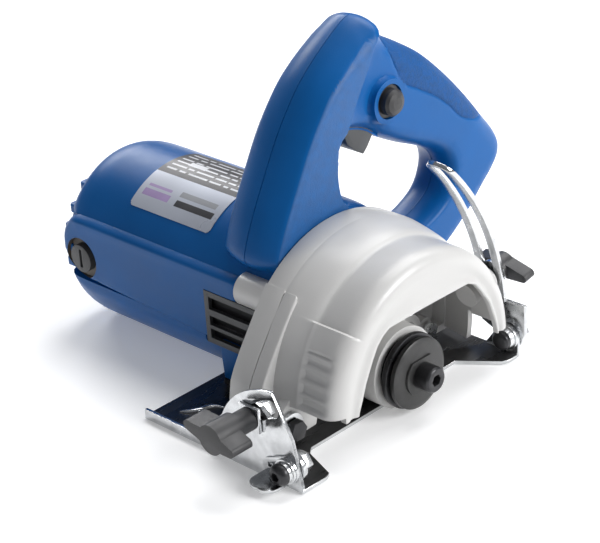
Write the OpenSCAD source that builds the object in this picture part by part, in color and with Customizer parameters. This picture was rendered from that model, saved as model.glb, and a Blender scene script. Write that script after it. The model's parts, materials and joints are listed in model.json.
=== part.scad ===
// Hand-held stone and tile saw: the blade side faces +Y, the cut runs along +X.
// The origin lies on the sole, under the spindle line, where the blade case meets the gear housing.

/* [Base] */
// Thickness of the pressed steel base
sheet = 1.8; // [1.6:0.1:2]
// Distance from the spindle line to the front face of the base
base_front = 85.8; // [85.6:0.1:86]
// Distance from the spindle line to the rear edge of the base
base_rear = 70.5; // [70.4:0.1:70.6]
// Reach of the base under the motor
base_left = 60.7; // [55:0.1:64]

/* [Adjusters] */
// Sideways place of the bevel pivot line
bevel_y = 36; // [35.8:0.1:36.2]
// Height of the bevel pivot line
bevel_z = 10; // [9.8:0.1:10.2]
// Forward place of the depth pivot
depth_x = 66; // [65.8:0.1:66.2]
// Height of the depth pivot
depth_z = 15.5; // [15.4:0.1:15.6]
// Radius of the curved depth guide about the depth pivot
guide_r = 136.4; // [136:0.1:137]
// Angle of the clamp stud along the depth guide at full depth
stud_a = 10.5; // [10:0.5:11]

/* [Drive] */
// Height of the motor line
motor_z = 42; // [41.9:0.1:42.1]
// Outer radius of the motor housing
motor_r = 46.5; // [46.4:0.1:46.6]
// Height of the spindle line
spindle_z = 20.8; // [20.7:0.1:20.9]
// Teeth on the motor pinion
pinion_teeth = 11; // [11:1:11]
// Teeth on the spindle gear
gear_teeth = 25; // [25:1:25]
// Face width of the spindle gear
gear_face = 8; // [7:0.5:8]

/* [Blade case] */
// Outer radius of the blade case at its joint with the gear housing
case_r = 67.4; // [67.2:0.1:67.4]
// Outer radius of the blade case over the blade
band_r = 62; // [61.6:0.1:62]
// Width of the blade case
case_w = 44; // [43:0.5:44]
// Wall of the castings
cast_wall = 3; // [2.5:0.5:3]

/* [Handle] */
// Wall of the handle mouldings
skin = 3; // [2.5:0.5:3]
// Side to side place of the handle's split
split_y = -31; // [-31:0.5:-31]

/* [Hidden] */
$fn = 48;

fit = 0.02;            // bore over shaft where two pieces are fixed together
run = 0.05;            // radial clearance of a running fit
gap = 0.3;             // space between faces that slide past each other
m6 = 3;                // shank radius of the adjuster bolts
case_y0 = -12;         // back face of the gear housing
housing_end = -167;    // tail of the motor housing
housing_half = 44;     // half width of the motor housing over its flat sides
housing_low = 5;       // underside of the motor housing
handle_y0 = -50;       // motor side of the handle
pad_z = [24, 64];      // flat band on the side of the motor housing
brush_y = -149.7;      // line of the two brushes
core_y = [-125, -75];  // motor laminations
wing_y = 14.7;         // bevel clamp bolt
wing_z = 29.3;
bracket_x = base_front - sheet - gap - 2.5;
tab_x = -base_rear;    // rear face of the upturned rear tab
ear_x = tab_x - gap;   // front face of the guide's pivot ear
boss_xz = [40, 60];    // upper motor screws
low_xz = [36, 15];     // lower motor screws
module_mm = 2 * (motor_z - spindle_z) / (pinion_teeth + gear_teeth);
pinion_r = module_mm * pinion_teeth / 2;
gear_r = module_mm * gear_teeth / 2;
gear_y = 3;            // near face of the spindle gear
chamber_r = 18.4;      // gear chamber about the spindle
chamber_top_r = 12.4;  // gear chamber about the pinion
spindle_r = 6;
journal_r = 4;
seat_y = 28.8;         // face that the inner flange turns against
blade_seat_y = 34.2;   // face that the blade lies on
pin_xz = [-19, 126];   // trigger pin
lock_xz = [-45, 130];  // lock button
grip_screws = [[9, 112], [-36, 162], [-115, 96], [-116, 65], [-72, 38]];

function dir(a) = [cos(a), sin(a)];
function arc(c, r, a0, a1, n) = [for (i = [0:n]) c + r * dir(a0 + (a1 - a0) * i / n)];

// Extrusions of a flat shape: (x, z) along Y, and (y, z) along X
module along_y(y0, y1) {
  translate([0, y1, 0]) rotate([90, 0, 0]) linear_extrude(y1 - y0) children();
}
module along_x(x0, x1) {
  translate([x0, 0, 0]) rotate([90, 0, 90]) linear_extrude(x1 - x0) children();
}
// Round bars and turned profiles of [radius, distance] pairs
module rod_y(p, r, y0, y1) {
  translate([p[0], y1, p[1]]) rotate([90, 0, 0]) cylinder(r = r, h = y1 - y0);
}
module rod_x(p, r, x0, x1) {
  translate([x0, p[0], p[1]]) rotate([0, 90, 0]) cylinder(r = r, h = x1 - x0);
}
module turned_y(z, profile) {
  translate([0, 0, z]) rotate([-90, 0, 0]) rotate_extrude() polygon(profile);
}
module turned_x(p, profile) {
  translate([0, p[0], p[1]]) rotate([0, 90, 0]) rotate_extrude() polygon(profile);
}
// Two circles joined by their outer tangents
module link(a, ra, b, rb) {
  d = b - a;
  mid = atan2(d[1], d[0]);
  spread = acos((ra - rb) / norm(d));
  translate(a) circle(ra);
  translate(b) circle(rb);
  polygon([a + ra * dir(mid + spread), b + rb * dir(mid + spread),
           b + rb * dir(mid - spread), a + ra * dir(mid - spread)]);
}
// Part of a ring between two angles
module sector(r0, r1, a0, a1) {
  far = 1.5 * r1;
  intersection() {
    difference() { circle(r1); circle(r0); }
    polygon([[0, 0], far * dir(a0), far * dir((a0 + a1) / 2), far * dir(a1)]);
  }
}
module hexagon(r) { circle(r, $fn = 6); }
module ring(r0, r1) { difference() { circle(r1); circle(r0); } }
// A place at radius r on the line of the depth clamp stud, with +Z pointing outwards
module on_stud_line(r) {
  translate([depth_x, 0, depth_z]) rotate([0, -(90 - stud_a), 0]) translate([0, 0, r]) children();
}

// ---- Base ----

module base_floor() {
  polygon([[base_front, -base_left], [base_front, 44], [70.5, 44.2], [67.6, 42.8], [61, 24.5],
           [57, 21.5], [-45, 21.5], [-58.5, 40], [-62, 41.8], [-68, 41.8], [-base_rear, 39],
           [-base_rear, -base_left]]);
}
module quadrant() {
  pivot = [bevel_y, bevel_z];
  difference() {
    polygon(concat([[-13.5, 0], [44, 0], [39.1, 25.2], [28.9, 44.5]],
                   arc([31, 6], 40.3, 95, 155, 10), [[-10.2, 18.8], [-12.4, 11], [-13.5, 5.2]]));
    translate(pivot) circle(m6 + fit);
    translate(pivot) {
      sector(slot_r - slot_half, slot_r + slot_half, slot_a[0], slot_a[1]);
      for (a = slot_a) translate(slot_r * dir(a)) circle(slot_half);
    }
  }
}
slot_r = norm([bevel_y - wing_y, wing_z - bevel_z]);
slot_half = 4.4;
slot_a = [107.3, 138];

module base_plate() {
  color("silver") {
    linear_extrude(sheet) base_floor();
    along_x(base_front - sheet, base_front) {
      quadrant();
      polygon([[-base_left, 0], [-13, 0], [-13, 5.2], [-base_left, 5.2]]);
    }
    along_x(-base_rear, -base_rear + sheet) difference() {
      union() {
        translate([bevel_y - 1, bevel_z - 1]) circle(7);
        polygon([[22, 0], [41.5, 0], [42, bevel_z - 1], [35, 15.5], [28.5, 12], [22, 3]]);
      }
      translate([bevel_y, bevel_z]) circle(m6 + fit);
    }
  }
}

module sight_guide() {
  face = base_front;
  color("silver") {
    along_x(face, face + 1.5) difference() {
      link([bevel_y, bevel_z], 6.5, [25, 8.4], 4);
      translate([bevel_y, bevel_z]) circle(m6 + fit);
      translate([25.5, 9]) square(2.4, center = true);
    }
    difference() {
      translate([0, 0, 2.9]) linear_extrude(1.5) {
        translate([face, 21]) square([8, 16]);
        translate([face + 8, 27]) circle(6);
        translate([face + 8, 31]) circle(6);
      }
      // Room for the pivot washers
      rod_x([bevel_y, bevel_z], 6.5, face + 1.5, face + 5);
    }
  }
}

module pivot_bolts() {
  p = [bevel_y, bevel_z];
  color("dimgray") {
    difference() {
      union() {
        rod_x(p, m6, bracket_x - 6, base_front + 5);
        turned_x(p, [[0, base_front + 4.7], [5.3, base_front + 4.7], [5.3, base_front + 6.4],
                     [4.2, base_front + 8.2], [2.6, base_front + 9], [0, base_front + 9]]);
      }
      along_x(base_front + 6.5, base_front + 10) translate(p) hexagon(2.3);
    }
    rod_x(p, m6, ear_x - 9, tab_x + 7);
    turned_x(p, [[0, tab_x + 6], [5, tab_x + 6], [5, tab_x + 8.2], [3.8, tab_x + 9.2], [0, tab_x + 9.2]]);
  }
}

module washer_x(p, r, x0, x1) {
  along_x(x0, x1) translate(p) ring(m6 + fit, r);
}
module pivot_washers() {
  p = [bevel_y, bevel_z];
  color("gainsboro") {
    washer_x(p, 6.25, base_front + 1.5, base_front + 3);
    washer_x(p, 5.2, base_front + 3, base_front + 4.7);
    washer_x(p, 6.25, tab_x + sheet, tab_x + sheet + 1.5);
    washer_x(p, 5.2, tab_x + sheet + 1.5, tab_x + 6);
  }
}

module nut_x(p, x0, x1, bore) {
  along_x(x0, x1) translate(p) difference() { hexagon(5.77); circle(bore); }
}
module pivot_nuts() {
  p = [bevel_y, bevel_z];
  color("gainsboro") {
    nut_x(p, bracket_x - 5.3, bracket_x - gap, m6 + fit);
    nut_x(p, ear_x - 2.3 - gap - 5, ear_x - 2.3 - gap, m6 + fit);
  }
}

// ---- Bevelling frame ----

module front_bracket() {
  ear_y = [17.2, 19.6];
  color("silver") {
    along_x(bracket_x, bracket_x + 2.5) difference() {
      union() {
        link([bevel_y, bevel_z], 7.3, [wing_y, wing_z], 6.1);
        polygon([[ear_y[0], 8], [ear_y[0], 27], [30, 20], [bevel_y, 2.7]]);
      }
      translate([bevel_y, bevel_z]) circle(m6 + run);
      translate([wing_y, wing_z]) circle(m6 + run);
    }
    along_y(ear_y[0], ear_y[1]) difference() {
      union() {
        translate([depth_x, depth_z]) circle(7.3);
        polygon([[depth_x, depth_z - 7.3], [bracket_x + 1, 8.2], [bracket_x + 1, 23.8],
                 [depth_x + 2, depth_z + 7]]);
      }
      translate([depth_x, depth_z]) circle(m6 + run);
    }
  }
}

module clamp_nut() {
  color("gainsboro") nut_x([wing_y, wing_z], bracket_x - 4.8, bracket_x, m6 + run);
}

module clamp_washer() {
  p = [wing_y, wing_z];
  color("gainsboro") along_x(base_front + gap, base_front + gap + 1.8) difference() {
    translate(p) square(12.3, center = true);
    translate(p) circle(m6 + run);
  }
}

guide_t = 2.3;
guide_y = [17.5, 33];
slot_y = [22, 28.4];
guide_tip = 47;
module guide_strip() {
  edge = guide_y[1] - guide_y[0];
  intersection() {
    along_y(guide_y[0], guide_y[1]) translate([depth_x, depth_z])
      sector(guide_r, guide_r + guide_t, 180 - guide_tip, 180 - 5);
    // Rounded tip, cut square to the strip there
    translate([depth_x, 0, depth_z]) rotate([0, -(90 - guide_tip + 4), 0]) linear_extrude(200) {
      translate([-1.5, (guide_y[0] + guide_y[1]) / 2]) circle(edge / 2);
      translate([-200, guide_y[0]]) square([198.5, edge]);
    }
  }
}
module depth_guide() {
  color("silver") difference() {
    union() {
      guide_strip();
      along_x(ear_x - guide_t, ear_x) {
        translate([bevel_y, bevel_z]) circle(7);
        polygon([[guide_y[0], 13], [29.5, 8], [42.5, 8], [44.5, 13], [44.5, 28], [guide_y[0], 28]]);
      }
    }
    rod_x([bevel_y, bevel_z], m6 + run, ear_x - 3, ear_x + 1);
    along_y(slot_y[0], slot_y[1]) translate([depth_x, depth_z])
      sector(guide_r - 1, guide_r + guide_t + 1, 180 - 44.5, 180 - 8.5);
  }
}

// ---- Clamp knobs ----

// Winged knob about +Z, with its foot at z = 0
module wing_knob(span_a, span_b, bore) {
  difference() {
    union() {
      cylinder(r = 5.65, h = 12);
      translate([0, 0, 9.5]) cylinder(r = 7.3, h = 14);
      translate([0, 0, 11.5]) linear_extrude(12) {
        link([0, 0], 4.6, [0, span_a - 2.4], 2.4);
        link([0, 0], 4.6, [0, 2.4 - span_b], 2.4);
      }
    }
    translate([0, 0, -1]) cylinder(r = bore, h = 17);
  }
}
module front_wing_knob() {
  color("#2b2b2d") translate([base_front + 2.5, wing_y, wing_z]) rotate([-10, 0, 0])
    rotate([0, 90, 0]) wing_knob(14.5, 17, m6 + fit);
}
module front_wing_stud() {
  color("dimgray") rod_x([wing_y, wing_z], m6, bracket_x - 5.2, base_front + 18.4);
}
knob_r = guide_r + guide_t + gap + 1.8;
module rear_wing_knob() {
  color("#2b2b2d") translate([0, (slot_y[0] + slot_y[1]) / 2, 0]) on_stud_line(knob_r)
    rotate([0, 0, 6]) difference() {
      union() {
        cylinder(r = 6.2, h = 9);
        translate([0, 0, 2.5]) linear_extrude(7) {
          link([0, 0], 5, [0, 14.6], 2.4);
          link([0, 0], 5, [0, -11.6], 2.4);
        }
      }
      translate([0, 0, -1]) cylinder(r = 4.4 + fit, h = 8);
    }
}
module rear_wing_insert() {
  color("goldenrod") translate([0, (slot_y[0] + slot_y[1]) / 2, 0]) on_stud_line(knob_r)
    difference() {
      cylinder(r = 4.4, h = 6.9);
      translate([0, 0, -1]) cylinder(r = m6 + run, h = 9);
    }
}
module depth_washer() {
  color("gainsboro") translate([0, (slot_y[0] + slot_y[1]) / 2, 0])
    on_stud_line(guide_r + guide_t + gap) difference() {
      cylinder(r = 6.8, h = 1.5);
      translate([0, 0, -1]) cylinder(r = m6 + fit, h = 4);
    }
}
module depth_stud() {
  color("dimgray") translate([0, (slot_y[0] + slot_y[1]) / 2, 0]) on_stud_line(124)
    cylinder(r = m6 - 0.05, h = knob_r + 6.5 - 124);
}

// ---- Motor ----

module housing_section(out) {
  intersection() {
    union() {
      translate([0, motor_z]) circle(motor_r + out);
      translate([-housing_half - out, pad_z[0] - out])
        square([2 * (housing_half + out), pad_z[1] - pad_z[0] + 2 * out]);
    }
    translate([-housing_half - out, housing_low - out]) square([2 * (housing_half + out), 120]);
  }
}
module housing_hollow(r) {
  intersection() {
    translate([0, motor_z]) circle(r);
    translate([-41, housing_low + 3]) square([82, 120]);
  }
}
function motor_posts() = [for (s = [-1, 1], p = [boss_xz, low_xz]) [s * p[0], p[1]]];

module motor_housing() {
  color("#1c66ad") difference() {
    union() {
      difference() {
        along_y(housing_end, case_y0) housing_section(0);
        along_y(housing_end + 4, case_y0 + 1) housing_hollow(42.5);
      }
      // Round brush towers with domed rims
      for (s = [-1, 1]) translate([0, brush_y, motor_z]) rotate([0, 90 * s, 0]) translate([0, 0, 29])
        rotate_extrude() polygon([[0, 0], [12, 0], [18, 13], [18, 15.5], [16.5, 17], [0, 17]]);
      // Ribs that hold the laminations
      for (a = [45, 135]) translate([0, core_y[1], motor_z]) rotate([90, a, 0])
        linear_extrude(core_y[1] - core_y[0]) for (s = [-1, 1])
          translate([s * 38.4, 0]) square([9.4, 7], center = true);
      for (p = motor_posts()) rod_y(p, p[1] > 30 ? 6.4 : 6, -56, -33);
      rod_y([0, motor_z], 14.5, housing_end, housing_end + 9);
      // Foot leg that stands over the base
      along_y(-52, -38) polygon([[33, 5.2], [42, 5.2], [43.5, 28], [36, 28]]);
    }
    rod_y([0, motor_z], 11 + fit, housing_end + 2, housing_end + 10);
    for (s = [-1, 1]) translate([s * 28, brush_y, motor_z]) rotate([0, 90 * s, 0])
      cylinder(r = 8, h = 13);
    for (s = [-1, 1]) translate([s * 40.9, brush_y, motor_z]) rotate([0, 90 * s, 0])
      cylinder(r = 11, h = 6);
    for (p = motor_posts()) {
      rod_y(p, 8.4, -33.3, case_y0 + 1);
      rod_y(p, 2.5, -55, -30);
    }
    // Grille window and air slots in the tail
    translate([38, -57, 26]) cube([4.2, 42, 26]);
    translate([42.2, -58.2, 24.8]) cube([4, 45.4, 28.4]);
    for (k = [-2:2]) translate([k * 11 - 2, housing_end - 1, motor_z + 20]) cube([4, 6, 14]);
    for (k = [-2:2]) translate([k * 11 - 2, housing_end - 1, motor_z - 31]) cube([4, 6, 12]);
  }
}

module vent_grille() {
  color("#3a3b3d") difference() {
    translate([42.3, -58, 25]) cube([2.2, 45, 28]);
    for (z = [28, 35, 43.5]) translate([40, -55, z]) cube([6, 39, z > 40 ? 6.5 : 5]);
    for (p = motor_posts()) rod_y(p, 8.4, -33.3, case_y0 + 1);
  }
}

module rating_label() {
  color("#c9ccd1") along_y(-122, -64) translate([0, motor_z]) sector(motor_r + 0.02, motor_r + 0.4, 46, 110);
}

module rest_foot() {
  color("#2a2b2d") along_y(-51.5, -38.5) polygon([[33.4, 2.1], [41.4, 2.1], [41.9, 5.2], [33.2, 5.2]]);
}

module on_both_brushes() {
  for (s = [-1, 1]) translate([0, brush_y, motor_z]) rotate([0, 90 * s, 0]) children();
}
module brush_caps() {
  color("#4a4c4f") on_both_brushes() difference() {
    union() {
      translate([0, 0, 37.2]) cylinder(r = 7.9, h = 3.7);
      translate([0, 0, 40.9]) cylinder(r = 7.5, h = 3.9);
    }
    translate([0, 0, 44]) cube([10, 1.8, 3], center = true);
  }
}
module brush_holders() {
  color("goldenrod") on_both_brushes() translate([0, 0, 15]) difference() {
    cylinder(r = 7.9, h = 22);
    translate([0, 0, 11]) cube([6.4, 9.4, 30], center = true);
  }
}
module carbon_brushes() {
  color("#303234") on_both_brushes() translate([-3, -4.5, 12.15]) cube([6, 9, 14]);
}
// Coil spring as one swept wire
function coil_ring(a, r, rise, wire) = [for (k = [0:5])
  [(r + wire * cos(60 * k)) * cos(a), (r + wire * cos(60 * k)) * sin(a), rise * a / 360 + wire * sin(60 * k)]];
module coil_spring(r, wire, turns, rise) {
  steps = turns * 12;
  pts = [for (i = [0:steps]) each coil_ring(i * 30, r, rise, wire)];
  sides = [for (i = [0:steps - 1], k = [0:5]) let (a = i * 6 + k, b = i * 6 + (k + 1) % 6) [a, b, b + 6, a + 6]];
  polyhedron(pts, concat([[5, 4, 3, 2, 1, 0]], sides, [[for (k = [0:5]) steps * 6 + k]]));
}
module brush_springs() {
  color("silver") on_both_brushes() translate([0, 0, 26.6]) coil_spring(2.5, 0.35, 5, 2);
}

module stator_core() {
  color("#8d9095") along_y(core_y[0], core_y[1]) translate([0, motor_z]) difference() {
    ring(20, 33.5);
    for (a = [20, 140, 200, 320]) sector(23.8, 30.2, a, a + 20);
  }
}
module field_coils() {
  color("#b5651d") translate([0, 0, motor_z]) for (s = [0, 180]) rotate([0, s, 0]) difference() {
    along_y(core_y[0] - 12, core_y[1] + 12) sector(24, 30, 21, 159);
    along_y(core_y[0] - 0.2, core_y[1] + 0.2) sector(22, 32, 39, 141);
  }
}
// Ball bearing as inner ring, outer ring and shields in one piece
module bearing(bore, r, y0, w, z) {
  turned_y(z, [[bore, y0], [r, y0], [r, y0 + w], [bore, y0 + w]]);
}
module motor_bearings() {
  color("#aeb3b8") {
    bearing(journal_r + run, 11, housing_end + 2, 7, motor_z);
    bearing(journal_r + run, 11, -21, 7, motor_z);
  }
}

// ---- Armature ----

function tooth(n, r, k) = let (p = 360 / n, a = k * p) [
  (r - 1.15 * module_mm) * dir(a - 0.3 * p), (r + 0.8 * module_mm) * dir(a - 0.09 * p),
  (r + 0.8 * module_mm) * dir(a + 0.09 * p), (r - 1.15 * module_mm) * dir(a + 0.3 * p)];
module gear_outline(n, r) { polygon([for (k = [0:n - 1]) each tooth(n, r, k)]); }

module armature_shaft() {
  color("#b9bdc2") {
    rod_y([0, motor_z], journal_r, housing_end + 2.4, 3);
    along_y(2.5, 12.5) translate([0, motor_z]) rotate(-90) gear_outline(pinion_teeth, pinion_r);
  }
}
module armature_core() {
  color("#8d9095") along_y(core_y[0], core_y[1]) translate([0, motor_z]) difference() {
    ring(journal_r + fit, 19.4);
    for (k = [0:11]) rotate(30 * k) translate([19.5, 0]) square([3, 2], center = true);
  }
}
module armature_windings() {
  color("#b5651d") for (y = [core_y[0] - 12, core_y[1] + 0.2]) bearing(journal_r + fit, 16.5, y, 11.8, motor_z);
}
module commutator() {
  color("#c07a3e") along_y(-157, -142) translate([0, motor_z]) difference() {
    ring(journal_r + fit, 12);
    for (k = [0:23]) rotate(15 * k + 7.5) translate([12, 0]) square([1.6, 0.5], center = true);
  }
}
module cooling_fan() {
  color("#2f3133") {
    bearing(journal_r + fit, 9, -54, 14, motor_z);
    bearing(8.8, 31, -54, 2, motor_z);
    for (k = [0:11]) translate([0, 0, motor_z]) rotate([0, 30 * k, 0]) translate([8.6, -52.2, -0.9])
      cube([21.5, 11, 1.8]);
  }
}

// ---- Gear housing and spindle ----

// Keyhole outline of the gear chamber, larger by g all round
module chamber(g) {
  link([0, spindle_z], chamber_r + g, [0, motor_z], chamber_top_r + g);
}
module cover_ears(r) {
  for (p = [[-17, 41], [17, 41], [0, 58]]) translate(p) circle(r);
}
module above(z) {
  intersection() {
    children();
    translate([-100, z]) square([200, 200]);
  }
}
lug = [[46, 71.5], [54.4, 60.8], [60.1, 52.9], [65.7, 45.1], [70.4, 37.7], [73, 32.4], [74.5, 24],
       [75, depth_z], [72.4, 9.1], [66, 6.5], [52, 6.5], [40, 40]];

module gear_housing() {
  color("#e4e6e8") difference() {
    union() {
      along_y(case_y0, 0) above(5) {
        translate([0, spindle_z]) circle(case_r);
        polygon(lug);
      }
      for (p = motor_posts()) rod_y(p, p[1] > 30 ? 8 : 7, -33, case_y0 + 1);
      rod_y([0, motor_z], 14, -22, case_y0 + 1);
      along_y(-1, 14) chamber(0);
      along_y(-1, 14) cover_ears(4.5);
    }
    // Open front recess around the gear chamber
    along_y(case_y0 + 4, 1) difference() {
      above(8.5) translate([0, spindle_z]) circle(case_r - 4);
      chamber(0);
      cover_ears(4.5);
      for (p = motor_posts()) translate(p) circle(8.5);
      for (p = case_screw_xz) translate(p) circle(5);
    }
    along_y(gear_y - 1, 15) {
      translate([0, spindle_z]) circle(chamber_r - 2);
      translate([0, motor_z]) circle(chamber_top_r - 4);
      translate([-6, spindle_z]) square([12, motor_z - spindle_z]);
    }
    rod_y([0, spindle_z], 11 + fit, -11.5, 3);
    rod_y([0, motor_z], 11 + fit, -23, -14);
    rod_y([0, motor_z], 6, -15, 3);
    rod_y([0, spindle_z], 7, -13, 1);
    for (p = motor_posts()) {
      rod_y(p, 2.5, -34, 1);
      rod_y(p, 4.6, -4.6, 1);
    }
    for (p = case_screw_xz) rod_y(p, 2 + fit, -9, 1);
    for (p = [[-17, 41], [17, 41], [0, 58]]) rod_y(p, 1.5 + fit, 4, 15);
  }
}
case_screw_xz = [[-50, 46], [50, 46], [-22, 76], [22, 76], [-48, 12], [46, 12]];

module motor_screws() {
  color("silver") for (p = motor_posts()) {
    rod_y(p, 2.45, -52, -4);
    rod_y(p, 4.2, -4.6, -1);
  }
}

module bearing_box() {
  color("#eceeef") difference() {
    union() {
      along_y(14, 17) { chamber(0); cover_ears(4.5); }
      along_y(17, 28.5) above(2.4) translate([0, spindle_z]) circle(20.5);
    }
    rod_y([0, spindle_z], 8, 13, 29);
    rod_y([0, spindle_z], 16 + fit, 17.5, 29);
    for (p = [[-17, 41], [17, 41], [0, 58]]) rod_y(p, 1.6, 13, 18);
    along_y(17, 30) for (p = [[-17, 41], [17, 41]]) translate(p) circle(4.6);
  }
}
module cover_screws() {
  color("silver") for (p = [[-17, 41], [17, 41], [0, 58]]) {
    rod_y(p, 1.5, 6, 17.2);
    rod_y(p, 3, 17, 19.4);
  }
}
module spindle_bearings() {
  color("#aeb3b8") {
    bearing(journal_r + run, 11, -11.4, 7, spindle_z);
    bearing(spindle_r + run, 16, 17.6, 10, spindle_z);
  }
}

module spindle_shaft() {
  z = spindle_z;
  color("#b9bdc2") difference() {
    turned_y(z, [[0, -11], [journal_r, -11], [journal_r, -3.8], [spindle_r, -3.8], [spindle_r, 39.5],
                 [0, 39.5]]);
    rod_y([0, z], 3 + fit, 18, 41);
  }
}
module spindle_gear() {
  color("#9a9ea3") along_y(gear_y, gear_y + gear_face) translate([0, spindle_z]) difference() {
    rotate(90 + 180 / gear_teeth) gear_outline(gear_teeth, gear_r);
    circle(spindle_r + fit);
  }
}
module inner_flange() {
  color("#2c2d2f") difference() {
    turned_y(spindle_z, [[spindle_r + fit, seat_y], [13, seat_y], [18.8, seat_y + 2.6],
      [18.8, blade_seat_y], [10, blade_seat_y], [10, blade_seat_y + 1.8], [spindle_r + fit, blade_seat_y + 1.8]]);
  }
}
module outer_flange() {
  y = blade_seat_y + 1.8;
  color("#8b8d90") difference() {
    turned_y(spindle_z, [[spindle_r + fit, y], [17.8, y], [17.8, y + 2.2], [15.2, y + 3.2], [10.6, y + 3.2],
      [10.6, y + 4.4], [3 + fit, y + 4.4], [3 + fit, y + 3.6], [spindle_r + fit, y + 3.6]]);
    for (s = [-1, 1]) translate([-15, y + 3.21, spindle_z + s * 11.5 - 3]) cube([30, 3, 6]);
  }
}
module clamp_bolt() {
  y = blade_seat_y + 6.2;
  color("#222325") difference() {
    union() {
      turned_y(spindle_z, [[0, y], [6.5, y], [6.5, y + 7.6], [5.6, y + 8.6], [0, y + 8.6]]);
      rod_y([0, spindle_z], 3, 20, y + 1);
    }
    along_y(y + 4.4, y + 9) translate([0, spindle_z]) hexagon(3);
  }
}

// ---- Blade case ----

module case_opening() {
  polygon([[46.8, -60], [46.8, 22.7], [44.1, 28.8], [41.2, 36.2], [36.9, 44.4], [32.8, 51.2], [24.4, 57.1],
           [-30, 57.1], [-38.3, 51.1], [-44.9, 41.6], [-48.9, 31.2], [-50.5, 25.6], [-51, 20], [-51, -60]]);
}
module blade_case() {
  w = cast_wall;
  color("#eceeef") difference() {
    union() {
      turned_y(spindle_z, [[0, 0], [case_r, 0], [63.3, 20], [band_r, 20.6], [band_r, case_w - 6],
                           [band_r - 1.8, case_w - 1.8], [band_r - 6, case_w], [0, case_w]]);
      along_y(0, 8) polygon(lug);
      along_y(8, 17) link([depth_x, depth_z], 8.5, [52, 26], 12);
      // Boss that the clamp stud screws into
      translate([0, (slot_y[0] + slot_y[1]) / 2, 0]) on_stud_line(118) cylinder(r = 6.5, h = guide_r - 1 - 118);
    }
    difference() {
      turned_y(spindle_z, [[0, 2.5], [case_r - w - 0.6, 2.5], [63.3 - w, 20], [band_r - w, 20.6],
                           [band_r - w, case_w - 6], [band_r - w - 3, case_w - w], [0, case_w - w]]);
      translate([0, (slot_y[0] + slot_y[1]) / 2, 0]) on_stud_line(119) cylinder(r = 6.5, h = 12);
    }
    along_y(case_w - w - 1, case_w + 1) case_opening();
    along_y(-1, 3) { chamber(0.4); cover_ears(4.9); }
    // Underside: open for the blade, with the front pivot lug left on
    translate([-100, -1, -100]) cube([200, 60, 106.5]);
    translate([-100, 17, -100]) cube([157, 40, 122]);
    translate([56, 17, -100]) cube([50, 40, 125]);
    rod_y([depth_x, depth_z], m6 + fit, 2, 18);
    translate([0, (slot_y[0] + slot_y[1]) / 2, 0]) on_stud_line(117) cylinder(r = m6 - 0.05 + fit, h = 30);
    for (p = case_screw_xz) rod_y(p, 2.2, -1, 4);
  }
}
module case_screws() {
  color("silver") for (p = case_screw_xz) {
    rod_y(p, 2, -8, 2.6);
    rod_y(p, 3.6, 2.5, 5);
  }
}
module depth_pivot_bolt() {
  color("#2a2b2d") {
    rod_y([depth_x, depth_z], m6, 3, 20.5);
    along_y(20, 24) translate([depth_x, depth_z]) hexagon(5.2);
  }
}

// ---- Handle ----

handle_edge = concat(
  [[37.5, 71], [41, 76], [38.4, 84.5], [33.9, 94.4], [23.4, 113.7], [14.9, 128.2], [6.7, 139.5], [-2.1, 149.5],
   [-12.3, 158.1], [-24.7, 166.6]],
  arc([-38, 159.4], 13, 76, 140, 3),
  [[-51.5, 160.4], [-67.3, 150.8], [-81.3, 141.4], [-95.6, 128.6], [-110.9, 112.6], [-125.2, 95.2]],
  arc([-124.8, 77.5], 12, 25 + 118, 25 + 190, 3),
  [[-119.7, 55.6], [-108, 46], [-91.5, 35.6], [-75, 28], [-58, 21.5], [-50, 21.5], [0, motor_z]]);
finger_hole = [[-11, 90], [-7.5, 101], [-8.5, 112], [-13, 119], [-24, 120], [-36, 116], [-47, 108], [-63, 99],
  [-77, 92.5], [-88, 86], [-92, 79], [-91.5, 72], [-87.5, 64.2], [-79, 58.8], [-69, 55.3], [-60, 53.7],
  [-52, 55.5], [-46, 61], [-40, 70], [-33, 78], [-25, 84.2], [-18, 87.6]];

module handle_outline() {
  difference() {
    polygon(handle_edge);
    polygon(finger_hole);
    translate([0, motor_z]) circle(motor_r + 0.3);
    translate([-housing_half - gap, pad_z[0] - gap])
      square([2 * (housing_half + gap), pad_z[1] - pad_z[0] + 2 * gap]);
    for (s = [-1, 1]) translate([s * boss_xz[0], boss_xz[1]]) circle(8.4);
  }
}
module trigger_window() {
  polygon([[-21, 127], [-20, 117], [-26, 107], [-38, 100], [-46.5, 107], [-48, 124]]);
}
module handle_right() {
  color("#1c66ad") difference() {
    union() {
      difference() {
        along_y(split_y, case_y0) handle_outline();
        along_y(split_y - 1, case_y0 - skin) offset(delta = -skin) handle_outline();
      }
      for (p = grip_screws) rod_y(p, 4.2, split_y, case_y0 - 1);
      rod_y(pin_xz, 3.6, -22.8, case_y0 - 1);
      rod_y(lock_xz, 11, case_y0 - 1, case_y0 + 1.4);
    }
    for (p = grip_screws) rod_y(p, 1.6, split_y - 1, case_y0 - 3);
    rod_y(pin_xz, 1.5 + fit, -24, -17);
    rod_y(lock_xz, 6.8, -20, case_y0 + 2);
    along_y(-38.6, -23.4) trigger_window();
  }
}
module handle_left() {
  color("#1c66ad") difference() {
    union() {
      difference() {
        along_y(handle_y0, split_y) handle_outline();
        along_y(handle_y0 + skin, split_y + 1) offset(delta = -skin) handle_outline();
      }
      for (p = grip_screws) rod_y(p, 4.2, handle_y0 + 1, split_y);
      rod_y(pin_xz, 3.6, handle_y0 + 1, -39.2);
      rod_y([-121, 78], 8.5, handle_y0 + 1, -40);
    }
    for (p = grip_screws) {
      rod_y(p, 2.1, handle_y0 - 1, split_y + 1);
      rod_y(p, 4, handle_y0 - 1, handle_y0 + 3);
    }
    rod_y(pin_xz, 1.5 + fit, -45, -38);
    rod_y([-121, 78], 6.3, handle_y0 - 1, -39);
    along_y(-38.6, -23.4) trigger_window();
  }
}
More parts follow.
